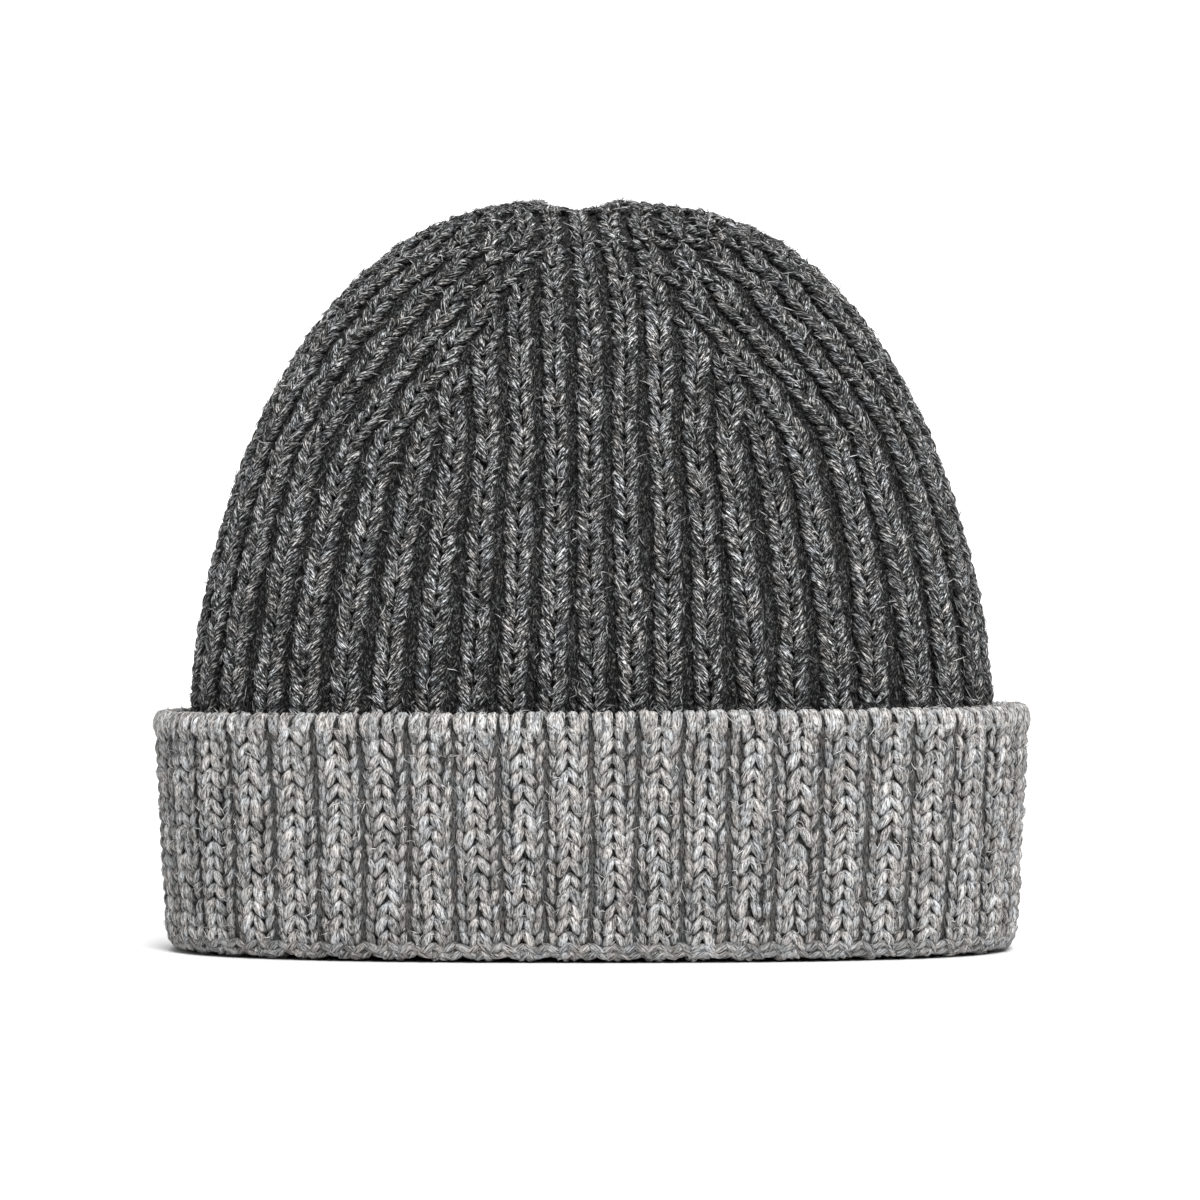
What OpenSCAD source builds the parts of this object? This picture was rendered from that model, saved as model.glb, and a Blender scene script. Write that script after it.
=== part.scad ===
// Rib-knit beanie with a turned-up cuff.
// It stands on the fold of its cuff: +Z is up, -Y is the front, +X is the viewer's right.
// The origin is on the ground, in the middle of the head opening. Units are millimetres.

/* [Crown] */
// Width of the crown from ear to ear
crown_w = 202; // [170:1:250]
// Depth of the crown from front to back
crown_d = 108; // [70:1:190]
// Height of the whole hat
hat_h = 189; // [155:1:240]
// Height at which the straight sides end and the dome begins
shoulder_h = 61; // [52:1:85]
// Thickness of the charcoal rib knit
crown_t = 4.5; // [2:0.1:7]
// Squareness of the sections: 2 is an ellipse, more is boxier
section_power = 2.5; // [2:0.1:4]
// How late the dome draws in towards its top, seen from the front
front_arch_power = 1.6; // [1.2:0.1:2.6]
// Roundness of the dome's top, seen from the front: less is fuller
front_arch_root = 0.37; // [0.3:0.01:0.6]
// How late the dome thins towards its top, seen from the side
arch_power = 1.5; // [1.1:0.1:2.4]

/* [Cuff] */
// Height of the turned-up cuff
cuff_h = 61; // [45:1:80]
// Thickness of the light grey rib knit
cuff_t = 4.5; // [2:0.1:7]
// Gap between the two layers of the cuff at the fold
fold_gap = 1.6; // [0.2:0.1:3]
// Gap between the crown and the top of the turned-up layer
cuff_standoff = 4.7; // [1:0.1:12]
// How much narrower each side is at the rim than at the shoulder
rim_taper = 0.3; // [0:0.1:6]
// Height at which the light grey facing is linked to the charcoal crown
join_h = 49; // [30:1:51]
// Height of the rolled cast-on edge
edge_h = 5.2; // [3:0.1:9]
// How far the cast-on edge stands proud of the knit below it
edge_proud = 0.3; // [0.1:0.1:1.5]

/* [Seams and yarn] */
// Width of the back seam inside the hat
seam_w = 5; // [2:0.5:10]
// How far the back seam stands off the inside of the knit
seam_t = 1.4; // [0.6:0.1:3]
// Radius of the yarn that draws the top together
gather_yarn_r = 1.1; // [0.6:0.1:2]
// Radius of the ring that the gathering yarn makes
gather_ring_r = 2.8; // [2:0.1:5]

/* [Care label] */
// Width of the blank label
label_w = 28; // [15:1:45]
// Height of the blank label
label_h = 34; // [15:1:45]
// Thickness of the folded label
label_t = 0.8; // [0.4:0.1:2]
// Distance from the back seam to the label
label_gap = 6; // [2:1:15]
// Number of stitches that hold the label
label_stitches = 6; // [3:1:12]
// Radius of the label thread
label_thread_r = 0.4; // [0.2:0.1:0.8]

/* [Hidden] */

charcoal = "#4b4d50";
light_grey = "#969696";
label_white = "#e8e6e0";

around = 56;        // points around each horizontal section
straight_steps = 3; // rings along a straight wall
dome_steps = 16;    // rings up the dome
fold_arc_step = 15; // degrees between points around the fold
edge_arc_step = 20; // degrees between points around the cast-on edge
dome_crowding = 1.6; // above 1 crowds the dome's rings towards its top
fold_flattening = 1.15; // above 1 leaves a flat band where the fold rests
label_clearance = 0.3;
label_drop = 4;     // from the join down to the label's top edge
seam_top_angle = 72; // how far up the dome the back seam runs, in degrees
dip_edge_r = 11;    // radius at which the gathered dip meets the dome

half_w = crown_w / 2;
half_d = crown_d / 2;
fold_h = cuff_t + fold_gap / 2;
edge_base_h = cuff_h - edge_h;
gather_dip = 2 * gather_yarn_r;
gather_seat_r = gather_ring_r + gather_yarn_r;

function signed_power(v, p) = sign(v) * pow(abs(v), p);

// A horizontal section, as a superellipse of half width w and half depth d
function section(w, d, z) = [
    for (i = [0:around - 1])
        let (a = 360 * i / around)
        [w * signed_power(cos(a), 2 / section_power), d * signed_power(sin(a), 2 / section_power), z]
];

// How far the inner wall's outer face has drawn in from the shoulder's size at height z
function taper_at(z) = rim_taper * (1 - min(z, shoulder_h) / shoulder_h);

// A section of the straight wall, pushed outwards by offset
function wall_section(offset, z) = section(half_w - taper_at(z) + offset, half_d - taper_at(z) + offset, z);

// The dome's outer face at climb angle a, or the face at depth t below it
function dome_w(a, t) = (half_w - t) * pow(1 - pow(sin(a), front_arch_power), front_arch_root);
function dome_d(a, t) = (half_d - t) * sqrt(1 - pow(sin(a), arch_power));
function dome_z(a, t) = shoulder_h + (hat_h - t - shoulder_h) * sin(a);
function dome_angle(step) = 90 * (1 - pow(1 - step / (dome_steps + 1), dome_crowding));

// 1 inside the gathered dip, easing to 0 at its edge
function dip_share(r) =
    let (s = min(1, max(0, (dip_edge_r - r) / (dip_edge_r - gather_seat_r))))
    s * s * (3 - 2 * s);

function dipped(p) = [p.x, p.y, p.z - gather_dip * dip_share(norm([p.x, p.y]))];

function dome_section(a, t) = [for (p = section(dome_w(a, t), dome_d(a, t), dome_z(a, t))) dipped(p)];

// The height profile of one face of the crown, bottom to top
function crown_face(t) = concat(
    [for (i = [0:straight_steps - 1]) wall_section(-t, join_h + (shoulder_h - join_h) * i / straight_steps)],
    [for (i = [0:dome_steps]) dome_section(dome_angle(i), t)]
);

function reversed(list) = [for (i = [len(list) - 1:-1:0]) list[i]];
function flat(lists) = [for (list = lists) for (item = list) item];

// Quads between ring i and ring j, each of n points
function band(i, j, n) = [
    for (k = [0:n - 1])
        let (m = (k + 1) % n)
        [i * n + k, j * n + k, j * n + m, i * n + m]
];

// A closed hoop whose rings go once round its cross-section
module hoop(rings) {
    n = len(rings[0]);
    last = len(rings) - 1;
    faces = flat([for (i = [0:last]) band(i, i == last ? 0 : i + 1, n)]);
    polyhedron(points = flat(rings), faces = faces, convexity = 6);
}

// A capped loft through rings that all have the same number of points
module loft(rings) {
    n = len(rings[0]);
    last = len(rings) - 1;
    sides = flat([for (i = [0:last - 1]) band(i, i + 1, n)]);
    caps = [[for (k = [0:n - 1]) k], [for (k = [n - 1:-1:0]) last * n + k]];
    polyhedron(points = flat(rings), faces = concat(sides, caps), convexity = 6);
}

// A hoop that follows the wall, from [offset, height] points round its cross-section
module wall_hoop(profile) {
    hoop([for (p = profile) wall_section(p.x, p.y)]);
}

// One shell, open at the bottom and closed over the top by a fan on each face
module dome_shell(outer, inner) {
    n = around;
    rings = concat(outer, reversed(inner));
    turn = len(outer) - 1;
    last = len(rings) - 1;
    outer_pole = len(rings) * n;
    inner_pole = outer_pole + 1;
    poles = [dipped([0, 0, hat_h]), dipped([0, 0, hat_h - crown_t])];
    sides = flat([for (i = [0:last]) if (i != turn) band(i, i == last ? 0 : i + 1, n)]);
    outer_fan = [for (k = [0:n - 1]) [turn * n + k, outer_pole, turn * n + (k + 1) % n]];
    inner_fan = [for (k = [0:n - 1]) [(turn + 1) * n + k, (turn + 1) * n + (k + 1) % n, inner_pole]];
    polyhedron(
        points = concat(flat(rings), poles),
        faces = concat(sides, outer_fan, inner_fan),
        convexity = 6
    );
}

// Gap between the inner wall and the turned-up layer at height z
function turnup_gap(z) = fold_gap + (cuff_standoff - fold_gap) * z / cuff_h;

// A seam ridge along the back, through [y, z] points on the inside face
module seam_ridge(path) {
    loft([
        for (p = path) [
            [-seam_w / 2, p.x, p.y],
            [-seam_w / 4, p.x - seam_t, p.y],
            [seam_w / 4, p.x - seam_t, p.y],
            [seam_w / 2, p.x, p.y],
        ]
    ]);
}

function inner_back(z, t) = half_d - taper_at(z) - t;

module crown_body() {
    color(charcoal) dome_shell(crown_face(0), crown_face(crown_t));
}

module cuff_facing() {
    heights = [for (i = [0:straight_steps]) fold_h + (join_h - fold_h) * i / straight_steps];
    color(light_grey)
        wall_hoop(concat([for (z = heights) [0, z]], [for (z = reversed(heights)) [-cuff_t, z]]));
}

module cuff_fold() {
    arc = [
        for (a = [360:-fold_arc_step:180])
            [fold_gap / 2 + fold_h * cos(a), max(0, fold_h * (1 + fold_flattening * sin(a)))]
    ];
    color(light_grey) wall_hoop(reversed(arc));
}

module cuff_turnup() {
    heights = [for (i = [0:straight_steps]) fold_h + (edge_base_h - fold_h) * i / straight_steps];
    color(light_grey)
        wall_hoop(concat(
            [for (z = heights) [turnup_gap(z) + cuff_t, z]],
            [for (z = reversed(heights)) [turnup_gap(z), z]]
        ));
}

module cuff_cast_on_edge() {
    middle = turnup_gap(edge_base_h) + cuff_t / 2;
    reach = cuff_t / 2 + edge_proud;
    arc = [for (a = [0:edge_arc_step:180]) [middle + reach * cos(a), edge_base_h + edge_h * sin(a)]];
    color(light_grey) wall_hoop(arc);
}

module crown_seam() {
    straight = [for (i = [0:straight_steps - 1]) join_h + (shoulder_h - join_h) * i / straight_steps];
    dome = [for (i = [0:dome_steps]) if (dome_angle(i) <= seam_top_angle) dome_angle(i)];
    color(charcoal)
        seam_ridge(concat(
            [for (z = straight) [inner_back(z, crown_t), z]],
            [for (a = dome) [dome_d(a, crown_t), dome_z(a, crown_t)]]
        ));
}

module cuff_seam() {
    color(light_grey) seam_ridge([for (z = [fold_h, join_h]) [inner_back(z, cuff_t), z]]);
}

module gather_yarn() {
    color(charcoal)
        translate([0, 0, hat_h - gather_yarn_r])
            rotate_extrude($fn = 48)
                translate([gather_ring_r, 0])
                    circle(r = gather_yarn_r, $fn = 24);
}

label_x = seam_w / 2 + label_gap;
label_top = join_h - label_drop;
label_far_share = (label_x + label_w) / (half_w - rim_taper - cuff_t);
label_y = (half_d - rim_taper - cuff_t) * pow(1 - pow(label_far_share, section_power), 1 / section_power)
    - label_clearance;

module care_label() {
    color(label_white)
        translate([label_x, label_y - label_t, label_top - label_h])
            cube([label_w, label_t, label_h]);
}

module label_thread() {
    pitch = label_w / label_stitches;
    stitch_l = pitch * 0.6;
    for (i = [0:label_stitches - 1])
        color(light_grey)
            translate([label_x + pitch * (i + 0.5) - stitch_l / 2, label_y - label_t - label_thread_r, label_top - 2])
                rotate([0, 90, 0])
                    cylinder(r = label_thread_r, h = stitch_l, $fn = 16);
}

crown_body();
cuff_facing();
cuff_fold();
cuff_turnup();
cuff_cast_on_edge();
crown_seam();
cuff_seam();
gather_yarn();
care_label();
label_thread();
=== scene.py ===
"""Knit beanie: charcoal rib crown, light grey turned-up cuff, inside facing, seams, gather and label.

The knit is built stitch by stitch. Each rib follows a line over a smooth face of the CAD shape, and
its stitches are short tapered strands of yarn laid along that line. Lengths are in metres.
+Z is up, -Y is the front and +X is the viewer's right.
"""

import math

import bpy
import numpy as np
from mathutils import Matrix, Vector


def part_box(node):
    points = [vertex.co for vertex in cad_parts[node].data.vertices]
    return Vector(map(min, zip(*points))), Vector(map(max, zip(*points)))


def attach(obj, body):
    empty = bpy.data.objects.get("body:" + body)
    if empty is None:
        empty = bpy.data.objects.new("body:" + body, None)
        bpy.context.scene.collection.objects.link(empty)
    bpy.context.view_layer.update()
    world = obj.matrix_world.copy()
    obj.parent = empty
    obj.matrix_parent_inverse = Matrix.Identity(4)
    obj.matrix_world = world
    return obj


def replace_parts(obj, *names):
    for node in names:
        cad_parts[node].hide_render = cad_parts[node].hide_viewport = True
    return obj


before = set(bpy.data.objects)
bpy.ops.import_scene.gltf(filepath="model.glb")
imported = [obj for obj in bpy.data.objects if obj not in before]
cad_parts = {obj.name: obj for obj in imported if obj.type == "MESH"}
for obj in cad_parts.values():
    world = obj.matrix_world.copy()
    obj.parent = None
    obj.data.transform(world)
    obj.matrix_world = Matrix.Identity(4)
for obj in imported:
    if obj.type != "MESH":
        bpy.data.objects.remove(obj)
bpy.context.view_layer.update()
rng = np.random.default_rng(20)

# Shape shared with the CAD
SECTION_POWER = 2.5
ARCH_POWER = 1.5
FRONT_ARCH_POWER = 1.6
FRONT_ARCH_ROOT = 0.37
RIM_TAPER = 0.0003
FOLD_GAP = 0.0016
CUFF_STANDOFF = 0.0047
KNIT_T = 0.0045
LABEL_T = 0.00025
LABEL_STITCHES = 6
EDGE_PROUD = 0.0003
GATHER_DIP = 0.0022
GATHER_SEAT_R = 0.0039
DIP_EDGE_R = 0.011

crown_low, crown_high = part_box("crown_body")
edge_low, edge_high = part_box("cuff_cast_on_edge")
CROWN_HALF_W = crown_high.x
CROWN_HALF_D = crown_high.y
JOIN_H = crown_low.z
HAT_H = crown_high.z
FOLD_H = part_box("cuff_fold")[1].z
EDGE_BASE_H = edge_low.z
CUFF_H = edge_high.z
EDGE_H = CUFF_H - EDGE_BASE_H
SHOULDER_H = CUFF_H

# Ribs and stitches
RIBS = 48
QUARTER = RIBS // 4
CROWN_FRONT_PITCH = 0.0096
CUFF_FRONT_PITCH = 0.0110
CROWN_ROW = 0.0036
CUFF_ROW = 0.00355
CROWN_WANDER = 0.05
CUFF_WANDER = 0.03
WANDER_END_H = 0.17
GATHER_SHIFT = -0.004
GATHER_REACH = 0.045
GATHER_END_R = 0.0024
CUFF_TILT = 0.0008

# Level of the stitches on an inner face, and depths of the thin cores under the faces of the knit.
# The crown's core reaches below the join by JOIN_OVERLAP, so that no slit is left there.
INSIDE_LEVEL = -0.0011
CORE_DEPTH = 0.0027
CORE_BACK_DEPTH = 0.0030
CUFF_CORE_DEPTH = 0.0024
TURNUP_BACK_DEPTH = 0.0013
JOIN_OVERLAP = 0.0025

# Loose fibres: CROWN_FIBRE and CUFF_FIBRE hold length, thickness and lift
CROWN_FIBRE = (0.0019, 0.000105, 0.00012)
CUFF_FIBRE = (0.0018, 0.00009, 0.0001)
FIBRE_STRAY = 0.5
FIBRE_CURL = 0.8
FIBRE_LYING = 0.93
FIBRE_TURNS = (0.5, 2.6, 4.7)
FIBRE_POINTS = 7

NO_TRIANGLES = np.zeros((0, 3), int)

# Height where a rib ends, by how many ribs it is from the front or the back centre. Others go on.
RIB_END_H = {5: 0.138, 4: 0.149, 3: 0.160, 2: 0.170, 1: 0.178, 8: 0.1825, 10: 0.1855, 0: 0.187}


# ---------------------------------------------------------------- smooth faces of the hat


def smoothstep(value):
    value = np.clip(value, 0, 1)
    return value * value * (3 - 2 * value)


def signed_power(value, power):
    return np.sign(value) * np.abs(value) ** power


def section_point(turn):
    """x and y on a unit superellipse. The turn is 0 at the front and grows towards +X."""
    power = 2 / SECTION_POWER
    return signed_power(np.sin(turn), power), -signed_power(np.cos(turn), power)


def rib_turns(half_w, half_d, front_pitch):
    """A function from rib number to turn. Ribs are front_pitch apart in front and wider at the sides."""
    turn = (np.linspace(0, 1, 4001) ** 1.5) * math.pi / 2
    x, y = section_point(turn)
    steps = np.hypot(np.diff(x * half_w), np.diff(y * half_d))
    arc = np.concatenate([[0], np.cumsum(steps)])
    middle = (arc[1:] + arc[:-1]) / 2 / arc[-1]
    low, high = 0.0, 1.5
    for _ in range(40):
        widening = (low + high) / 2
        pitch = front_pitch * (1 + widening * smoothstep(middle / 0.8))
        count = np.concatenate([[0], np.cumsum(steps / pitch)])
        if count[-1] > QUARTER:
            low = widening
        else:
            high = widening
    count *= QUARTER / count[-1]
    half = np.concatenate([turn, math.pi - turn[-2::-1]])
    half_count = np.concatenate([count, 2 * QUARTER - count[-2::-1]])
    turns = np.concatenate([half - 2 * math.pi, half - math.pi, half, half + math.pi, half + 2 * math.pi])
    offsets = np.array([-RIBS, -RIBS / 2, 0, RIBS / 2, RIBS])
    counts = np.concatenate([half_count + offset for offset in offsets])

    def place(rib):
        return np.interp(rib, counts, turns)

    return place


crown_turn = rib_turns(CROWN_HALF_W, CROWN_HALF_D, CROWN_FRONT_PITCH)
cuff_turn = rib_turns(CROWN_HALF_W + 0.008, CROWN_HALF_D + 0.008, CUFF_FRONT_PITCH)


def taper_at(z):
    return RIM_TAPER * (1 - np.minimum(z, SHOULDER_H) / SHOULDER_H)


def turnup_gap(z):
    """Distance of the turned-up layer's back from the wall at a height."""
    return FOLD_GAP + (CUFF_STANDOFF - FOLD_GAP) * z / CUFF_H


def wall_levels(offset, z):
    """Half width, half depth and height of levels pushed out from the inner wall by offset."""
    return CROWN_HALF_W - taper_at(z) + offset, CROWN_HALF_D - taper_at(z) + offset, z


def crown_levels(bottom, top_climb, count):
    """Levels of the crown's outer face, from the height bottom up to a climb angle."""
    z = np.linspace(bottom, SHOULDER_H, max(3, count // 12), endpoint=False)
    straight = wall_levels(np.zeros_like(z), z)
    share = np.linspace(0, 1, count)
    climb = top_climb * (1 - (1 - share) ** 1.25)
    dome = (
        CROWN_HALF_W * np.maximum(0, 1 - np.sin(climb) ** FRONT_ARCH_POWER) ** FRONT_ARCH_ROOT,
        CROWN_HALF_D * np.sqrt(np.maximum(0, 1 - np.sin(climb) ** ARCH_POWER)),
        SHOULDER_H + (HAT_H - SHOULDER_H) * np.sin(climb),
    )
    return tuple(np.concatenate(pair) for pair in zip(straight, dome))


def cuff_path(count):
    """(offset, height) of the visible face of the cuff, from inside the hat round the fold to the top."""
    down = np.linspace(JOIN_H, FOLD_H, count)
    arc = np.linspace(math.pi, 2 * math.pi, count)
    up = np.linspace(FOLD_H, EDGE_BASE_H, count)
    roll = np.linspace(0, math.pi, count)
    reach = KNIT_T / 2 + EDGE_PROUD
    middle = turnup_gap(EDGE_BASE_H) + KNIT_T / 2
    offset = np.concatenate([
        np.full(count, -KNIT_T),
        FOLD_GAP / 2 + FOLD_H * np.cos(arc[1:]),
        turnup_gap(up[1:]) + KNIT_T,
        middle + reach * np.cos(roll),
    ])
    height = np.concatenate([
        down,
        np.maximum(0.0002, FOLD_H * (1 + 1.08 * np.sin(arc[1:]))),
        up[1:],
        EDGE_BASE_H + EDGE_H * np.sin(roll),
    ])
    return offset, height


def surface(levels, turn):
    """Points at one turn for each level; turn broadcasts against the levels."""
    half_w, half_d, z = levels
    x, y = section_point(turn)
    points = np.stack(np.broadcast_arrays(half_w * x, half_d * y, z + 0 * x), axis=-1)
    radius = np.hypot(points[..., 0], points[..., 1])
    dip = smoothstep((DIP_EDGE_R - radius) / (DIP_EDGE_R - GATHER_SEAT_R))
    points[..., 2] -= GATHER_DIP * dip
    above = smoothstep((points[..., 2] - SHOULDER_H) / SHOULDER_H)
    points[..., 0] += GATHER_SHIFT * above * (1 - smoothstep(radius / GATHER_REACH))
    points[..., 2] += CUFF_TILT * (1 - above) * points[..., 0] * points[..., 2] / CROWN_HALF_W / CUFF_H
    return points


def unit(vectors):
    return vectors / np.maximum(1e-12, np.linalg.norm(vectors, axis=-1, keepdims=True))


def rib_line(levels, place, rib, spread):
    """The line of one rib: arc length, points, axes and the distance to its neighbours."""
    step = 0.04
    points = surface(levels, place(rib))
    across = (surface(levels, place(rib + step)) - surface(levels, place(rib - step))) / (2 * step)
    along = np.gradient(points, axis=0)
    along = unit(along)
    square = across - (across * along).sum(axis=-1, keepdims=True) * along
    out = unit(np.cross(across, along))
    arc = np.concatenate([[0], np.cumsum(np.linalg.norm(np.diff(points, axis=0), axis=-1))])
    return {
        "arc": arc,
        "points": points,
        "along": along,
        "out": out,
        "across": np.cross(along, out),
        "pitch": np.linalg.norm(square, axis=-1) * spread,
    }


def on_line(line, name, at):
    """A value of the line at the arc lengths, by straight interpolation."""
    values = line[name]
    if values.ndim == 1:
        return np.interp(at, line["arc"], values)
    return np.stack([np.interp(at, line["arc"], values[:, i]) for i in range(3)], axis=-1)


# ---------------------------------------------------------------- strands and meshes


def placed(name, data):
    """An object for the data, linked to the scene."""
    obj = bpy.data.objects.new(name, data)
    bpy.context.scene.collection.objects.link(obj)
    return obj


def tube_quads(rings, sides):
    quads = []
    for i in range(rings - 1):
        for j in range(sides):
            k = (j + 1) % sides
            quads.append((i * sides + j, i * sides + k, (i + 1) * sides + k, (i + 1) * sides + j))
    return np.array(quads)


def cap_triangles(rings, sides):
    first = rings * sides
    last = (rings - 1) * sides
    low = [(first, (j + 1) % sides, j) for j in range(sides)]
    high = [(first + 1, last + j, last + (j + 1) % sides) for j in range(sides)]
    return np.array(low + high)


class Strand:
    """A short tapered strand of yarn in rib coordinates: across, along and out.

    It runs from start to end across the rib over its length along it, bows sideways, and sinks
    into the knit at both ends. A tilt lifts its lower end, and flat presses it against the knit.
    """

    def __init__(self, start, end, length, radius, bow=0.0002, sink=0.0009, tilt=0.0,
                 flat=0.85, tip=0.45, rings=6, sides=7, twist=1.6):
        t = np.linspace(0, 1, rings)
        middle = np.stack([
            start + (end - start) * t + bow * np.sin(math.pi * t),
            length * (t - 0.5),
            tilt * (0.5 - t) - sink * np.abs(2 * t - 1) ** 2.2,
        ], axis=-1)
        ahead = unit(np.gradient(middle, axis=0))
        side = unit(np.cross(ahead, [0, 0, 1.0]))
        up = np.cross(side, ahead)
        width = radius * (tip + (1 - tip) * np.sin(math.pi * t) ** 0.7)
        angle = np.arange(sides) * 2 * math.pi / sides
        round_side = side[:, None] * np.cos(angle)[None, :, None]
        round_up = up[:, None] * (flat * np.sin(angle))[None, :, None]
        body = middle[:, None] + (round_side + round_up) * width[:, None, None]
        tips = middle[[0, -1]] + ahead[[0, -1]] * width[[0, -1], None] * [[-0.5], [0.5]]
        self.rings, self.sides, self.radius = rings, sides, radius
        self.points = np.concatenate([body.reshape(-1, 3), tips])
        spun = angle[None, :] + twist * (t[:, None] - 0.5)
        yarn = np.stack([
            np.cos(spun) * width[:, None],
            np.sin(spun) * width[:, None],
            np.broadcast_to((length * t)[:, None], spun.shape),
        ], axis=-1)
        self.yarn = np.concatenate([yarn.reshape(-1, 3), [[0, 0, 0], [0, 0, length]]])
        self.quads = tube_quads(rings, sides)
        self.tris = cap_triangles(rings, sides)

    def mirrored(self):
        """The same strand on the other side of the rib."""
        other = object.__new__(Strand)
        other.rings, other.sides, other.radius = self.rings, self.sides, self.radius
        other.points = self.points * [-1, 1, 1]
        other.yarn = self.yarn * [-1, 1, 1]
        other.quads = self.quads[:, ::-1]
        other.tris = self.tris[:, ::-1]
        return other


def flipped(shape):
    """The same strand upside down, so that a V becomes an inverted V."""
    other = dict(shape)
    other["start"], other["end"] = shape["end"], shape["start"]
    return other


class Batch:
    """Collects strands and skins into one mesh, with the values that its material reads."""

    def __init__(self):
        self.points, self.quads, self.tris = [], [], []
        self.yarn, self.seed, self.shade = [], [], []
        self.count = 0

    def add(self, points, quads, tris, yarn, seed, shade):
        self.points.append(points)
        self.quads.append(quads.reshape(-1, 4) + self.count)
        self.tris.append(tris.reshape(-1, 3) + self.count)
        self.yarn.append(yarn)
        self.seed.append(seed)
        self.shade.append(shade)
        self.count += len(points)

    def object(self, name, material):
        quads = np.concatenate(self.quads)
        tris = np.concatenate(self.tris)
        mesh = bpy.data.meshes.new(name)
        mesh.vertices.add(self.count)
        mesh.vertices.foreach_set("co", np.concatenate(self.points).astype(np.float32).ravel())
        corners = np.concatenate([quads.ravel(), tris.ravel()])
        mesh.loops.add(len(corners))
        mesh.loops.foreach_set("vertex_index", corners.astype(np.int32))
        starts = np.concatenate([np.arange(len(quads)) * 4, quads.size + np.arange(len(tris)) * 3])
        mesh.polygons.add(len(starts))
        mesh.polygons.foreach_set("loop_start", starts.astype(np.int32))
        mesh.polygons.foreach_set("use_smooth", np.ones(len(starts), bool))
        for title, kind, key, values in (
            ("yarn", "FLOAT_VECTOR", "vector", self.yarn),
            ("seed", "FLOAT", "value", self.seed),
            ("shade", "FLOAT", "value", self.shade),
        ):
            layer = mesh.attributes.new(title, kind, "POINT")
            layer.data.foreach_set(key, np.concatenate(values).astype(np.float32).ravel())
        mesh.update(calc_edges=True)
        mesh.validate()
        mesh.materials.append(material)
        obj = placed(name, mesh)
        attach(obj, "root")
        return obj


class Fuzz:
    """Places on the strands where loose fibres can grow: root, direction along the yarn and out."""

    def __init__(self):
        self.roots, self.ahead, self.out = [], [], []

    def gather(self, strand, points, out):
        """Takes two places on the upper side of every strand."""
        for _ in range(2):
            count = len(points)
            ring = rng.integers(1, strand.rings - 1, count)
            side = rng.integers(0, strand.sides // 2 + 1, count)
            here = ring * strand.sides + side
            each = np.arange(count)
            self.roots.append(points[each, here])
            self.ahead.append(points[each, here + strand.sides] - points[each, here - strand.sides])
            self.out.append(out[each, here])


def lay(batch, line, strand, at, level, narrow=1.0, shrink=1.0, face=1, loose=1.0, tone=1.0,
        groove_shade=0.0, fuzz=None):
    """Lays copies of a strand along a rib line, at arc lengths at and at a level out from the face.

    narrow scales them across, shrink scales them all over, face is -1 for the inside of the knit,
    and loose is how uneven they are. The two factors after loose are painted shade: the first darkens
    the strands where they lie deep in the knit, and the second darkens the ends that dip into the
    groove beside the rib. Each strand also gets painted shade on its underside, where it sinks in.
    """
    count = len(at)
    if not count:
        return
    each_strand = (np.broadcast_to(value, count)[:, None] for value in (level, narrow, shrink, tone))
    level, narrow, shrink, tone = each_strand
    uneven = loose * rng.standard_normal((5, count, 1))
    size = shrink * (1 + 0.05 * uneven[0])
    local = strand.points[None] * size[..., None]
    along = local[..., 1]
    across = local[..., 0] * narrow + 0.07 * uneven[1] * along + 0.00012 * uneven[2]
    raised = local[..., 2] + level + 0.00012 * uneven[3]
    arc = at[:, None] + along + 0.00018 * uneven[4]
    over = arc - np.clip(arc, line["arc"][0], line["arc"][-1])
    out = on_line(line, "out", arc)
    points = (
        on_line(line, "points", arc)
        + on_line(line, "along", arc) * over[..., None]
        + on_line(line, "across", arc) * across[..., None]
        + out * (raised * face - (KNIT_T if face < 0 else 0))[..., None]
    )
    if fuzz:
        fuzz.gather(strand, points, out)
    each = len(strand.points)
    shift = (np.arange(count) * each)[:, None, None]
    turned = 1 if face > 0 else -1
    # painted shade: darkens each strand's underside, its ends in the groove beside the rib, and whole
    # strands deep in the knit
    reach = np.abs(strand.points[:, 0]).max()
    painted_flank_shade = 1 - groove_shade * smoothstep((np.abs(strand.points[:, 0]) / reach - 0.6) / 0.4)
    shade = tone * painted_flank_shade * (0.14 + 0.86 * smoothstep((local[..., 2] / strand.radius + 0.75) / 1.25))
    batch.add(
        points.reshape(-1, 3),
        strand.quads[None, :, ::turned] + shift,
        strand.tris[None, :, ::turned] + shift,
        (strand.yarn[None] * size[..., None]).reshape(-1, 3) * 1000,
        np.repeat(rng.random(count), each),
        shade.ravel(),
    )


def add_skin(batch, points, shade):
    """A closed skin through rings of points that go round the cross-section and back to the first ring."""
    rings, columns = points.shape[:2]
    i, j = np.meshgrid(np.arange(rings), np.arange(columns), indexing="ij")
    k = (j + 1) % columns
    n = (i + 1) % rings
    quads = np.stack([i * columns + j, i * columns + k, n * columns + k, n * columns + j], axis=-1)
    flat = points.reshape(-1, 3)
    seed = np.full(len(flat), 0.5)
    batch.add(flat, quads, NO_TRIANGLES, flat * 1000, seed, np.full(len(flat), shade))


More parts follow.
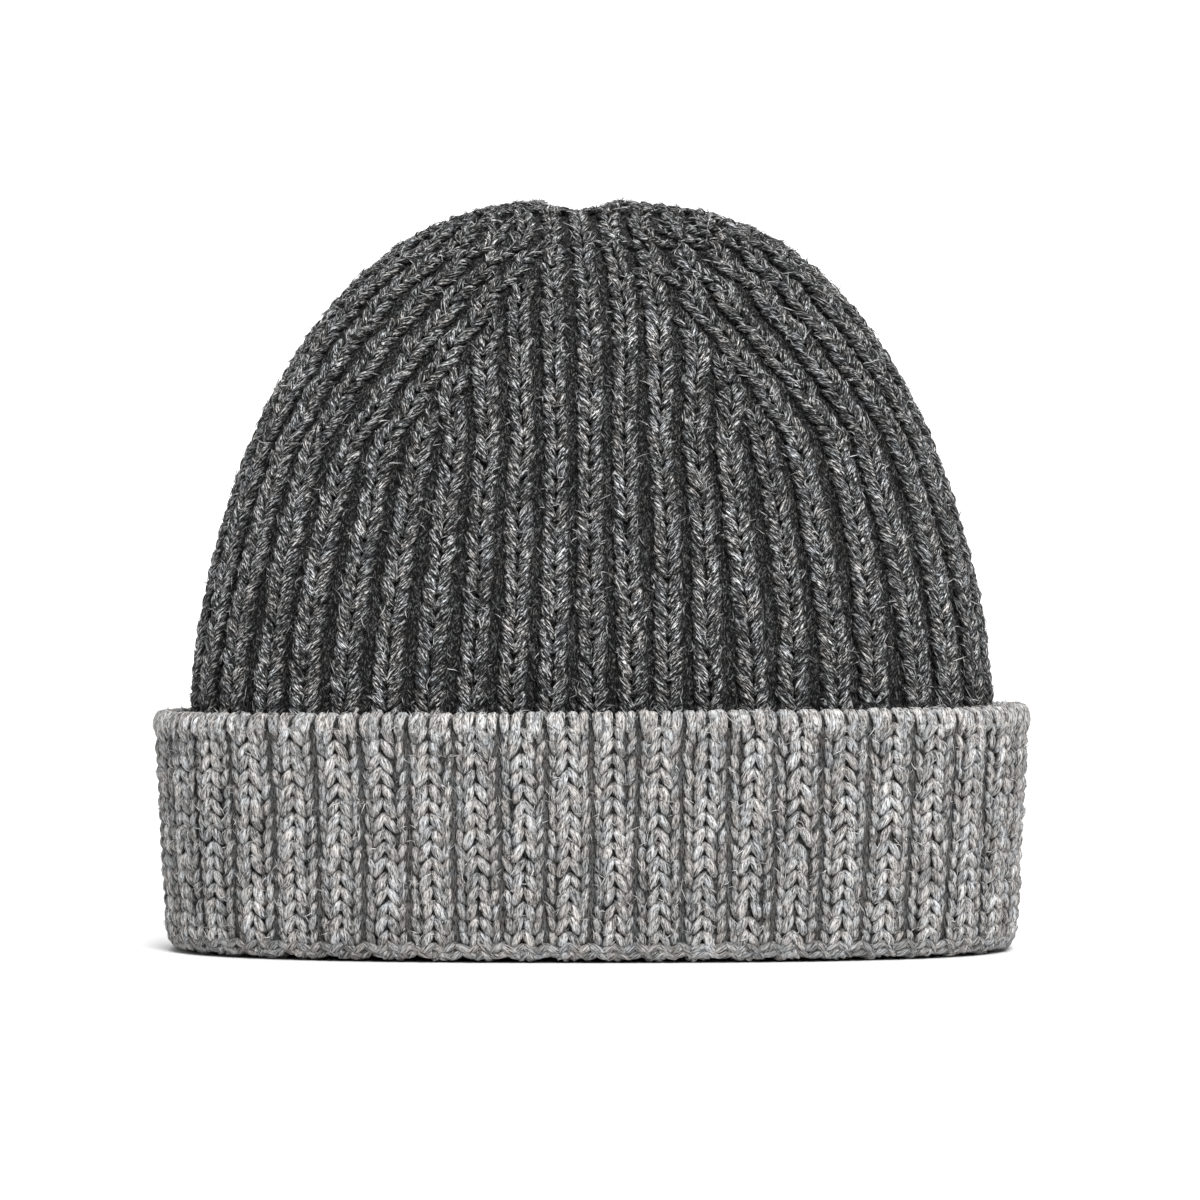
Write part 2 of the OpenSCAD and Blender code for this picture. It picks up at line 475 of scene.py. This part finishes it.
def grow_fuzz(name, fuzz, count, length, thickness, lift, material, slot):
    """Loose fibres: thin three-sided hairs that lie along the yarn and lift a little off it."""
    roots, ahead, out = (np.concatenate(part) for part in (fuzz.roots, fuzz.ahead, fuzz.out))
    chosen = rng.choice(len(roots), count, replace=count > len(roots))
    roots, ahead, out = roots[chosen], unit(ahead[chosen]), out[chosen]
    ahead *= rng.choice([-1, 1], (count, 1))
    stray = FIBRE_STRAY * rng.standard_normal((2, count, 3))
    stray -= FIBRE_LYING * (stray * out).sum(axis=-1, keepdims=True) * out
    heading = unit(ahead + stray[0])
    curl = FIBRE_CURL * stray[1]
    long = length * np.exp(0.3 * rng.standard_normal((count, 1)))
    rise = lift * np.abs(rng.standard_normal((count, 1)))
    side = unit(np.cross(heading, out))
    up = np.cross(side, heading)
    wide = thickness * (0.7 + 0.6 * rng.random((count, 1)))
    rings = []
    for t in (0.0, 0.5):
        risen = out * rise * math.sin(math.pi * min(1, t * 0.8))
        centre = roots + long * t * (heading + curl * t * 0.6) + risen
        for angle in FIBRE_TURNS:
            spoke = side * math.cos(angle) + up * math.sin(angle)
            rings.append(centre + spoke * wide * (1 - 0.5 * t))
    tip = roots + long * (heading + curl * 0.6) + out * rise * 0.5
    points = np.stack([*rings, tip], axis=1)
    quads = tube_quads(2, 3)
    tris = np.array([(3, 4, 6), (4, 5, 6), (5, 3, 6), (0, 2, 1)])
    shift = (np.arange(count) * FIBRE_POINTS)[:, None, None]
    seed = np.repeat(rng.random(count), FIBRE_POINTS)
    flat = points.reshape(-1, 3)
    batch = Batch()
    batch.add(flat, quads[None] + shift, tris[None] + shift, flat, seed, np.ones_like(seed))
    return batch.object(name, material)


# ---------------------------------------------------------------- materials


def add_node(tree, kind, **settings):
    made = tree.nodes.new(kind)
    for name, value in settings.items():
        setattr(made, name, value)
    return made


def new_material(name):
    material = bpy.data.materials.new(name)
    material.use_nodes = True
    return material, material.node_tree


def math_node(tree, operation, first, second, clamp=False):
    made = add_node(tree, "ShaderNodeMath", operation=operation, use_clamp=clamp)
    for socket, value in zip(made.inputs, (first, second)):
        if isinstance(value, (int, float)):
            socket.default_value = value
        else:
            tree.links.new(value, socket)
    return made.outputs[0]


def read_value(tree, name, output="Fac"):
    return add_node(tree, "ShaderNodeAttribute", attribute_name=name).outputs[output]


def noise(tree, vector, scale=1.0, detail=2.0, roughness=0.5, w=None, stretch=(1, 1, 1)):
    """Noise on a stretched vector. w moves each strand to its own part of the pattern."""
    mapping = add_node(tree, "ShaderNodeMapping")
    mapping.inputs["Scale"].default_value = stretch
    tree.links.new(vector, mapping.inputs["Vector"])
    made = add_node(tree, "ShaderNodeTexNoise", noise_dimensions="4D" if w else "3D")
    made.inputs["Scale"].default_value = scale
    made.inputs["Detail"].default_value = detail
    made.inputs["Roughness"].default_value = roughness
    tree.links.new(mapping.outputs[0], made.inputs["Vector"])
    if w:
        tree.links.new(w, made.inputs["W"])
    return made.outputs["Fac"]


def ramp(tree, factor, stops):
    made = add_node(tree, "ShaderNodeValToRGB")
    elements = made.color_ramp.elements
    while len(elements) < len(stops):
        elements.new(0.5)
    for element, (position, colour) in zip(elements, stops):
        element.position = position
        element.color = (*colour, 1)
    tree.links.new(factor, made.inputs[0])
    return made.outputs[0]


def multiplied(tree, first, second):
    made = add_node(tree, "ShaderNodeMix", data_type="RGBA", blend_type="MULTIPLY")
    made.inputs[0].default_value = 1
    tree.links.new(first, made.inputs[6])
    tree.links.new(second, made.inputs[7])
    return made.outputs[2]


def soft_shader(tree, sheen):
    shader = tree.nodes["Principled BSDF"]
    shader.inputs["Roughness"].default_value = 0.9
    shader.inputs["Specular IOR Level"].default_value = 0.15
    shader.inputs["Sheen Weight"].default_value = sheen
    shader.inputs["Sheen Roughness"].default_value = 0.5
    return shader


def grey(value, warmth=0.0):
    """A nearly neutral grey; warmth above 0 is browner and below 0 bluer."""
    return (value * (1 + warmth), value, value * (1 - warmth))


def wool(name, fibres, blotches, sheen, bump):
    """Melange wool: light and dark fibres streak each strand, and soft blotches vary its tone and tint.

    fibres are the ramp stops of the fibre colours, and blotches the darkest and lightest tone.
    """
    material, tree = new_material(name)
    yarn = read_value(tree, "yarn", "Vector")
    seed = read_value(tree, "seed")
    offset = math_node(tree, "MULTIPLY", seed, 60.0)
    place = add_node(tree, "ShaderNodeTexCoord").outputs["Object"]
    streaks = noise(tree, yarn, detail=1.0, w=offset, stretch=(2.8, 2.8, 0.6))
    flecks = noise(tree, yarn, detail=1.0, w=offset, stretch=(5.4, 5.4, 1.3))
    halves = [math_node(tree, "MULTIPLY", part, 0.5) for part in (streaks, flecks)]
    fibre = math_node(tree, "ADD", *halves)
    colour = ramp(tree, fibre, fibres)
    darkest, lightest = blotches
    tone = noise(tree, place, scale=110.0, detail=3.0, roughness=0.6)
    tint = noise(tree, place, scale=240.0, roughness=0.6)
    for factor, stops in (
        (tone, [(0.32, grey(darkest)), (0.68, grey(lightest))]),
        (tint, [(0.35, grey(1.0, -0.035)), (0.65, grey(1.0, 0.04))]),
        (seed, [(0.0, grey(0.86)), (1.0, grey(1.14))]),
    ):
        colour = multiplied(tree, colour, ramp(tree, factor, stops))
    # painted shade: the colour is multiplied by the shade attribute, which darkens strand undersides, groove
    # ends, deep strands and the cores
    colour = multiplied(tree, colour, read_value(tree, "shade", "Color"))
    shader = soft_shader(tree, sheen)
    tree.links.new(colour, shader.inputs["Base Color"])
    bumper = add_node(tree, "ShaderNodeBump")
    bumper.inputs["Strength"].default_value = bump
    bumper.inputs["Distance"].default_value = 0.0005
    tree.links.new(fibre, bumper.inputs["Height"])
    tree.links.new(bumper.outputs[0], shader.inputs["Normal"])
    return material


def hair(name, tones):
    """Loose fibres, each of one tone from dark to light."""
    material, tree = new_material(name)
    stops = [(place, grey(value, warmth)) for place, value, warmth in tones]
    shader = soft_shader(tree, 0.05)
    tree.links.new(ramp(tree, read_value(tree, "seed"), stops), shader.inputs["Base Color"])
    return material


charcoal = wool(
    "charcoal_wool",
    [(0.42, grey(0.003)), (0.485, grey(0.024, -0.01)), (0.545, grey(0.11, -0.01)), (0.63, grey(0.60))],
    (0.7, 1.3),
    0.02,
    0.9,
)
light_grey = wool(
    "light_grey_wool",
    [(0.38, grey(0.03, 0.05)), (0.46, grey(0.19, 0.02)), (0.53, grey(0.39, 0.015)), (0.64, grey(0.63))],
    (0.76, 1.2),
    0.02,
    0.9,
)
charcoal_hair = hair(
    "charcoal_hair", [(0.0, 0.005, 0.0), (0.5, 0.025, 0.0), (0.68, 0.22, -0.01), (1.0, 0.60, 0.0)]
)
light_grey_hair = hair(
    "light_grey_hair", [(0.0, 0.03, 0.08), (0.35, 0.14, 0.03), (0.6, 0.45, 0.01), (1.0, 0.75, 0.0)]
)


# ---------------------------------------------------------------- crown


def rib_class(rib):
    """How many ribs this one is from the nearer of the front and the back centre."""
    from_front = min(rib % RIBS, RIBS - rib % RIBS)
    return min(from_front, RIBS // 2 - from_front)


CROWN_LEVELS = crown_levels(JOIN_H - 0.001, math.radians(89.5), 260)


def rib_shares(levels):
    """Width share of each rib at each level, 1 for a full rib and 0 above its last decrease."""
    height = levels[2]
    shares = np.ones((RIBS, len(height)))
    for rib in range(RIBS):
        end = RIB_END_H.get(rib_class(rib))
        if end:
            end += 0.0006 * rng.standard_normal()
            fade = min(0.012, 0.4 * (HAT_H + 0.001 - end))
            shares[rib] = 1 - smoothstep((height - end + 0.9 * fade) / fade)
    return shares


crown_shares = rib_shares(CROWN_LEVELS)
crown_total = crown_shares.sum(axis=0)
crown_middles = np.cumsum(crown_shares, axis=0) - crown_shares / 2 - crown_shares[0] / 2
crown_place = crown_middles * RIBS / crown_total


def crown_line(rib):
    """The line of one crown rib. Its last stitch is where its share or its radius runs out."""
    low = math.floor(rib)
    place, share = crown_place[low % RIBS], crown_shares[low % RIBS]
    if rib != low:
        ahead = crown_place[(low + 1) % RIBS] + (RIBS if low % RIBS == RIBS - 1 else 0)
        place = (place + ahead) / 2
        share = np.minimum(share, crown_shares[(low + 1) % RIBS])
    height = CROWN_LEVELS[2]
    wander = CROWN_WANDER * np.sin(height * 60 + rng.uniform(0, 6.28)) * (height < WANDER_END_H)
    line = rib_line(CROWN_LEVELS, crown_turn, place + wander, RIBS / crown_total)
    line["share"] = share
    line["radius"] = np.hypot(line["points"][:, 0] - GATHER_SHIFT, line["points"][:, 1])
    return line


def crown_rows(line, start, row):
    """Arc lengths of the stitches of a rib, from start up to where the rib ends."""
    live = line["arc"][(line["share"] > 0.15) & (line["radius"] > GATHER_END_R)]
    return np.arange(start, live[-1], row)


CROWN_LEG = dict(start=0.0003, end=0.0030, length=0.0054, radius=0.00140, tilt=0.0006)
CROWN_LEG_LEVEL = -0.00125
CROWN_VALLEY_LEVEL = -0.0031
CROWN_VALLEY = dict(start=-0.0011, end=0.0011, length=0.0042, radius=0.00100, tilt=0.0, rings=4, sides=5)


def crown_fit(line, at):
    """How narrow and how small the stitches at these arc lengths are, to fill the room their rib has."""
    share = on_line(line, "share", at)
    pitch = on_line(line, "pitch", at)
    narrow = np.clip(pitch / CROWN_FRONT_PITCH, 0.3, 1.3) * (0.45 + 0.55 * share)
    shrink = np.clip(np.sqrt(pitch / CROWN_FRONT_PITCH), 0.62, 1.05) * (0.7 + 0.3 * share)
    return share, narrow / shrink, shrink


def knit_crown(name, ribs, fuzz):
    """One sector of the crown's outside: a V of two legs per stitch, and small bridges in the valleys,
    darkened with painted shade in the grooves.
    """
    batch = Batch()
    right = Strand(**CROWN_LEG)
    left = right.mirrored()
    bridge = Strand(**CROWN_VALLEY)
    for rib in ribs:
        line = crown_line(rib)
        at = crown_rows(line, 0.001, CROWN_ROW)
        share, narrow, shrink = crown_fit(line, at)
        level = CROWN_LEG_LEVEL - 0.0008 * (1 - share)
        for strand in (right, left):
            # painted shade: the leg ends that dip into the grooves are darkened
            lay(batch, line, strand, at, level, narrow, shrink, groove_shade=0.5, fuzz=fuzz)
        valley = crown_line(rib + 0.5)
        at = crown_rows(valley, 0.003, CROWN_ROW)
        _, narrow, shrink = crown_fit(valley, at)
        for strand in (bridge, bridge.mirrored()):
            # painted shade: the bridges deep in the valley are darkened to a quarter
            lay(batch, valley, strand, at, CROWN_VALLEY_LEVEL, narrow, shrink, tone=0.25)
    return batch.object(name, charcoal)


def knit_crown_inside():
    """The stitches that are seen inside the crown."""
    batch = Batch()
    right = Strand(**CROWN_LEG, rings=4, sides=5)
    left = right.mirrored()
    for rib in range(RIBS):
        line = crown_line(rib)
        at = crown_rows(line, 0.0005, CROWN_ROW)
        _, narrow, shrink = crown_fit(line, at)
        for strand in (right, left):
            lay(batch, line, strand, at, INSIDE_LEVEL, narrow, shrink, face=-1)
    return batch.object("crown_inside_knit", charcoal)


def inset(points, distance):
    """Points of a grid (rings round the hat) moved inwards along the surface normals."""
    around = np.roll(points, -1, axis=1) - np.roll(points, 1, axis=1)
    up = np.gradient(points, axis=0)
    return points - unit(np.cross(around, up)) * distance


def crown_core():
    """The charcoal layer between the outer and the inner stitches, closed over the top, darkened further
    with painted shade for the deep gaps between the stitches.
    """
    levels = crown_levels(JOIN_H - JOIN_OVERLAP, math.radians(89.4), 70)
    turn = crown_turn(np.linspace(0, RIBS, 240, endpoint=False))
    face = surface([values[:, None] for values in levels], turn[None, :])
    batch = Batch()
    # painted shade: the core's colour is multiplied by 0.2
    add_skin(batch, np.concatenate([inset(face, CORE_DEPTH), inset(face, CORE_BACK_DEPTH)[::-1]]), 0.2)
    return batch.object("crown_core", charcoal)


# ---------------------------------------------------------------- cuff


path_offset, path_height = cuff_path(60)
CUFF_LEVELS = wall_levels(path_offset, path_height)
ROWS_TOP_H = EDGE_BASE_H + 0.0008
ROWS_FOOT_H = 0.0034
BACK_FOOT_H = 0.036
CUFF_LEG = flipped(dict(start=0.0002, end=0.0026, length=0.0049, radius=0.00122, bow=0.0002, tilt=-0.0005))
VALLEY_LEG = flipped(dict(start=0.0009, end=0.0023, length=0.0047, radius=0.00102, tilt=-0.0004))
EDGE_LOOP = dict(start=0.0018, end=0.0011, length=0.0098, radius=0.00138, sink=0.0004, tip=0.6, rings=9)
FOLD_LINK = dict(start=0.0021, end=-0.0021, length=0.0024, radius=0.00125, sink=0.0005, tip=0.5)
FOLD_LINK_H = (0.0015, 0.0031)


def cuff_line(rib):
    """The line of one cuff rib, from the join inside round the fold and up to the cast-on edge."""
    outside = path_offset > 0.001
    wander = CUFF_WANDER * np.sin(CUFF_LEVELS[2] * 90 + rng.uniform(0, 6.28)) * outside
    return rib_line(CUFF_LEVELS, cuff_turn, rib + wander, 1.0)


def outside_arc(line, height):
    """Arc length where the line passes a height on the outside of the cuff."""
    outside = np.arange(len(path_height)) > np.argmin(path_height)
    return line["arc"][outside][np.argmin(np.abs(path_height[outside] - height))]


def cuff_columns(rib):
    """The raised wale and the recessed valley of a rib: place, strand shape, level and painted shade, which
    darkens the recessed valley to 0.8.
    """
    return (rib + 0.5, CUFF_LEG, -0.00110, 1.0), (rib, VALLEY_LEG, -0.0018, 0.80)


def knit_cuff(name, ribs, fuzz):
    """The outside of the cuff, from the fold to just under the cast-on edge."""
    batch = Batch()
    for rib in ribs:
        for place, shape, level, tone in cuff_columns(rib):
            line = cuff_line(place)
            first, last = outside_arc(line, ROWS_FOOT_H), outside_arc(line, ROWS_TOP_H)
            rows = round((last - first) / CUFF_ROW)
            at = first + (np.arange(rows) + 0.5) * (last - first) / rows
            narrow = np.clip(on_line(line, "pitch", at) / CUFF_FRONT_PITCH, 0.8, 1.2)
            strand = Strand(**shape)
            for piece in (strand, strand.mirrored()):
                # painted shade: the ends that dip into the groove beside each column are darkened
                lay(batch, line, piece, at, level, narrow, loose=1.2, tone=tone, groove_shade=0.35, fuzz=fuzz)
    return batch.object(name, light_grey)


def cuff_edge(fuzz):
    """Cast-on loops that roll over the top of the cuff, one pair for each wale and each valley."""
    batch = Batch()
    loop = Strand(**EDGE_LOOP)
    for half in range(2 * RIBS):
        line = cuff_line(half / 2)
        at = np.array([outside_arc(line, EDGE_BASE_H) + 0.0042])
        narrow = np.clip(on_line(line, "pitch", at) / CUFF_FRONT_PITCH, 0.8, 1.2)
        for strand in (loop, loop.mirrored()):
            lay(batch, line, strand, at, -0.0010, narrow, loose=0.7, fuzz=fuzz)
    return batch.object("cuff_edge_loops", light_grey)


def fold_chain():
    """The turning row: a chain of slanted strands that runs round the foot of the cuff."""
    batch = Batch()
    link = Strand(**FOLD_LINK)
    for quarter in range(4 * RIBS):
        for course, height in enumerate(FOLD_LINK_H):
            line = cuff_line(quarter / 4 + 0.12 * course)
            at = np.array([outside_arc(line, height)])
            # painted shade: the turning row is darkened to 0.7 where it curves under at the fold
            lay(batch, line, link if (quarter + course) % 2 else link.mirrored(), at, -0.0010, tone=0.7)
    return batch.object("cuff_fold_chain", light_grey)


def knit_facing():
    """The inside layer of the cuff, from the join down and under the fold."""
    batch = Batch()
    for rib in range(RIBS):
        for place, shape, level, tone in cuff_columns(rib):
            line = cuff_line(place)
            at = np.arange(outside_arc(line, 0.0012), 0, -CUFF_ROW)
            narrow = np.clip(on_line(line, "pitch", at) / CUFF_FRONT_PITCH, 0.75, 1.15)
            strand = Strand(**shape, rings=5, sides=5)
            for piece in (strand, strand.mirrored()):
                lay(batch, line, piece, at, level, narrow, tone=tone)
    return batch.object("facing_knit", light_grey)


def knit_turnup_back():
    """The hidden face of the turned-up cuff, seen only in the gap beside the crown."""
    batch = Batch()
    strand = Strand(**CUFF_LEG, rings=5, sides=5)
    for half in range(2 * RIBS):
        line = cuff_line(half / 2)
        at = np.arange(outside_arc(line, BACK_FOOT_H), outside_arc(line, EDGE_BASE_H), CUFF_ROW)
        for piece in (strand, strand.mirrored()):
            lay(batch, line, piece, at, INSIDE_LEVEL, face=-1)
    return batch.object("turnup_back_knit", light_grey)


def cuff_core():
    """The layer under the cuff's stitches, folded double and closed; its light grey is darkened with painted
    shade for the deep gaps and slits between the stitches.
    """
    turn = cuff_turn(np.linspace(0, RIBS, 240, endpoint=False))[None, :]
    levels = wall_levels(path_offset[::6], path_height[::6])
    seen = inset(surface([values[:, None] for values in levels], turn), CUFF_CORE_DEPTH)
    turnup_z = np.linspace(EDGE_BASE_H, FOLD_H, 8)
    wall_z = np.linspace(FOLD_H, JOIN_H, 8)
    back_up = wall_levels(turnup_gap(turnup_z) + TURNUP_BACK_DEPTH, turnup_z)
    back_down = wall_levels(np.full(8, -0.0002), wall_z)
    back = [surface([values[:, None] for values in part], turn) for part in (back_up, back_down)]
    batch = Batch()
    # painted shade: the core's colour is multiplied by 0.22
    add_skin(batch, np.concatenate([seen, *back]), 0.22)
    return batch.object("cuff_core", light_grey)


# ---------------------------------------------------------------- seams, gather and label


SEAM_START = 0.001
SEAM_STEP = 0.003
SEAM_TOP_H = 0.178


def seam(name, line, arcs, face, material):
    """Slanted stitches that join the two edges of the knit along the inside of the back."""
    batch = Batch()
    stitch = Strand(start=-0.0020, end=0.0020, length=0.0030, radius=0.0008, sink=0.0005, rings=5, sides=6)
    lay(batch, line, stitch, arcs, 0.0006, face=face)
    edge = Strand(start=0.0014, end=0.0014, length=0.0050, radius=0.0008, sink=0.0003, rings=5, sides=6)
    for strand in (edge, edge.mirrored()):
        lay(batch, line, strand, arcs, 0.0002, face=face)
    return batch.object(name, material)


def back_seams():
    """The two back seams: up the inside of the crown, and down the inside of the cuff."""
    crown = crown_line(RIBS // 2)
    top = crown["arc"][crown["points"][:, 2] < SEAM_TOP_H][-1]
    arcs = np.arange(SEAM_START, top, SEAM_STEP)
    made = seam("crown_seam_yarn", crown, arcs, -1, charcoal)
    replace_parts(made, "crown_seam")
    cuff = cuff_line(RIBS // 2)
    arcs = np.arange(SEAM_START, JOIN_H - FOLD_H, SEAM_STEP)
    made = seam("cuff_seam_yarn", cuff, arcs, 1, light_grey)
    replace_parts(made, "cuff_seam")


GATHER_PLIES = 14
GATHER_SINK = 0.0016


def gather():
    """The yarn drawn through the last stitches: a small plied ring, pulled tight in its dip."""
    batch = Batch()
    steps = 40
    gather_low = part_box("gather_yarn")[0]
    strand = Strand(start=-0.0004, end=0.0004, length=0.0019, radius=0.00075, sink=0.0003, rings=5, sides=6)
    centre = np.array([GATHER_SHIFT, 0, gather_low.z - GATHER_SINK])
    for i in range(GATHER_PLIES):
        angle = 2 * math.pi * (i + np.linspace(0, 1.5, steps)) / GATHER_PLIES
        reach = GATHER_END_R + 0.0003 * np.sin(np.linspace(0, math.pi, steps))
        points = centre + np.stack([np.cos(angle) * reach, np.sin(angle) * reach, 0 * angle], axis=-1)
        along = unit(np.gradient(points, axis=0))
        line = {
            "arc": np.concatenate([[0], np.cumsum(np.linalg.norm(np.diff(points, axis=0), axis=-1))]),
            "points": points,
            "along": along,
            "out": np.tile([0, 0, 1.0], (steps, 1)),
            "across": np.cross(along, [0, 0, 1.0]),
        }
        # painted shade: the ring is darkened to 0.8 where it lies sunk in its dip
        lay(batch, line, strand, line["arc"][[steps // 2]], 0.0, tone=0.8)
    made = batch.object("gather_ring", charcoal)
    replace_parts(made, "gather_yarn")


def ribbon_cloth():
    """Off-white woven satin ribbon with fine crosswise threads."""
    material, tree = new_material("label_ribbon")
    place = add_node(tree, "ShaderNodeTexCoord").outputs["Object"]
    threads = noise(tree, place, stretch=(300, 300, 4000))
    shader = soft_shader(tree, 0.15)
    shader.inputs["Roughness"].default_value = 0.5
    colour = ramp(tree, threads, [(0.35, grey(0.62, 0.02)), (0.65, grey(0.76, 0.02))])
    tree.links.new(colour, shader.inputs["Base Color"])
    return material


def sewing_thread():
    material, tree = new_material("sewing_thread")
    soft_shader(tree, 0.1).inputs["Base Color"].default_value = (*grey(0.6, 0.02), 1)
    return material


def care_label():
    """A blank ribbon, folded double at its foot and sewn along its top to the inside of the cuff."""
    low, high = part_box("care_label")
    width, height, depth = high.x - low.x, high.z - low.z, high.y - low.y
    loop_r = depth / 2 - LABEL_T / 2
    side = np.linspace(0, 1, 22)
    fold = np.linspace(0, math.pi, 9)[1:-1]
    back_side = np.stack([0 * side + loop_r, (1 - side) * (height - loop_r) + loop_r], axis=-1)
    bend = np.stack([loop_r * np.cos(fold), loop_r * (1 - np.sin(fold))], axis=-1)
    front_side = np.stack([0 * side - loop_r, side * (height - loop_r) + loop_r], axis=-1)
    path = np.concatenate([back_side, bend, front_side])
    across = np.linspace(0, 1, 15)
    ahead = unit(np.gradient(path, axis=0))
    normal = np.stack([-ahead[:, 1], ahead[:, 0]], axis=-1)
    middle = (low.y + high.y) / 2
    ripple = 0.0003 * np.sin(across * 7)[None, :] * np.sin(path[:, 1] / height * 3)[:, None]
    faces = []
    for lift in (-LABEL_T / 2, LABEL_T / 2):
        line = path + normal * lift
        x = np.broadcast_to(low.x + across * width, (len(line), len(across)))
        y = middle + line[:, :1] + ripple
        z = np.broadcast_to(low.z + line[:, 1:], x.shape)
        faces.append(np.stack([x, y, z], axis=-1))
    rows, columns = faces[0].shape[:2]
    closed = np.concatenate([faces[0], faces[1][:, ::-1]], axis=1)
    ring = np.arange(rows * 2 * columns).reshape(rows, 2 * columns)
    after = np.roll(ring, -1, axis=1)
    quads = [np.stack([ring[:-1], after[:-1], after[1:], ring[1:]], axis=-1).reshape(-1, 4)]
    for row, order in ((0, -1), (-1, 1)):
        front, back = ring[row, :columns], ring[row, columns:][::-1]
        quads.append(np.stack([front[:-1], front[1:], back[1:], back[:-1]], axis=-1)[:, ::order])
    batch = Batch()
    flat = closed.reshape(-1, 3)
    ones = np.ones(len(flat))
    batch.add(flat, np.concatenate(quads), NO_TRIANGLES, flat * 1000, ones, ones)
    label = batch.object("label_ribbon", ribbon_cloth())
    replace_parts(label, "care_label")
    length = np.linalg.norm(np.diff(path, axis=0), axis=-1).sum()
    return label, (width, length)


def label_stitches():
    """Running stitches of thread along the top of the label."""
    low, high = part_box("label_thread")
    label_low, label_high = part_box("care_label")
    batch = Batch()
    pitch = (label_high.x - label_low.x) / LABEL_STITCHES
    radius = (high.z - low.z) / 2
    stitch = Strand(start=0, end=0, length=pitch * 0.62, radius=radius, bow=0, sink=0.0004, rings=7, sides=8)
    axes = np.tile(np.eye(3), (2, 1, 1))
    run = pitch * LABEL_STITCHES
    line = {
        "arc": np.array([0, run]),
        "points": np.array([[x, low.y + radius, (low.z + high.z) / 2] for x in (low.x, low.x + run)]),
        "along": axes[:, 0],
        "out": -axes[:, 1],
        "across": axes[:, 2],
    }
    lay(batch, line, stitch, pitch * (np.arange(LABEL_STITCHES) + 0.31), 0.0, loose=0.3)
    made = batch.object("label_stitches", sewing_thread())
    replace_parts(made, "label_thread")
    return made


# ---------------------------------------------------------------- build


crown_fuzz, cuff_fuzz = Fuzz(), Fuzz()
sectors = {"front": range(-6, 6), "right": range(6, 18), "back": range(18, 30), "left": range(30, 42)}
for side, numbers in sectors.items():
    knit_crown(f"crown_knit_{side}", [number % RIBS for number in numbers], crown_fuzz)
    knit_cuff(f"cuff_knit_{side}", [number % RIBS for number in numbers], cuff_fuzz)
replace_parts(crown_core(), "crown_body")
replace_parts(cuff_core(), "cuff_facing", "cuff_fold", "cuff_turnup")
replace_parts(cuff_edge(cuff_fuzz), "cuff_cast_on_edge")
fold_chain()
facing = knit_facing()
knit_turnup_back()
knit_crown_inside()
back_seams()
gather()
label, label_size = care_label()
label_stitches()
for layer in range(2):
    grow_fuzz(f"crown_fuzz_{layer}", crown_fuzz, 19000, *CROWN_FIBRE, charcoal_hair, "charcoal_knit")
grow_fuzz("cuff_fuzz", cuff_fuzz, 17000, *CUFF_FIBRE, light_grey_hair, "light_grey_knit")


# ---------------------------------------------------------------- floor, light and camera


def sweep():
    """A pale floor that curves up into a pale wall behind the hat."""
    material, tree = new_material("studio_sweep")
    shader = tree.nodes["Principled BSDF"]
    shader.inputs["Base Color"].default_value = (0.9, 0.9, 0.9, 1)
    shader.inputs["Roughness"].default_value = 0.9
    profile = [(-4.0, 0.0), (1.0, 0.0)]
    profile += [(1.0 + math.sin(a), 1.0 - math.cos(a)) for a in np.linspace(0.1, math.pi / 2, 14)]
    profile += [(2.0, 4.0)]
    points = [(x, y, z) for y, z in profile for x in (-5.0, 5.0)]
    faces = [(2 * i, 2 * i + 1, 2 * i + 3, 2 * i + 2) for i in range(len(profile) - 1)]
    mesh = bpy.data.meshes.new("studio_sweep")
    mesh.from_pydata(points, [], faces)
    mesh.polygons.foreach_set("use_smooth", [True] * len(faces))
    mesh.materials.append(material)
    placed("studio_sweep", mesh)


def area_light(name, location, target, size, power):
    """A soft square light at a location, pointed at a target."""
    light = bpy.data.lights.new(name, "AREA")
    light.shape = "SQUARE"
    light.size = size
    light.energy = power
    obj = placed(name, light)
    obj.location = location
    obj.rotation_euler = (Vector(target) - Vector(location)).to_track_quat("-Z", "Y").to_euler()


def studio(strength):
    """Even white light from all round."""
    world = bpy.data.worlds.new("studio")
    world.use_nodes = True
    background = world.node_tree.nodes["Background"]
    background.inputs["Color"].default_value = (1, 1, 1, 1)
    background.inputs["Strength"].default_value = strength
    bpy.context.scene.world = world


def camera():
    """The photograph's view: level, straight on and from about 1.3 m."""
    data = bpy.data.cameras.new("camera")
    data.sensor_width = 36
    data.lens = 154.8
    obj = placed("camera", data)
    obj.location = (0.0021, -1.3, 0.0875)
    obj.rotation_euler = (math.pi / 2, 0, 0)
    bpy.context.scene.camera = obj


sweep()
area_light("key", (0.5, -1.65, 1.35), (0, 0, 0.09), 0.9, 57)
area_light("fill", (-1.1, -1.2, 0.8), (0, 0, 0.09), 1.2, 2)
area_light("backdrop", (0, 0.9, 1.7), (0, 2.0, 0.5), 1.5, 26)
area_light("top", (0, 0.1, 1.8), (0, 0, 0.1), 1.4, 16)
studio(0.28)
bpy.context.scene.view_settings.view_transform = "Standard"
camera()
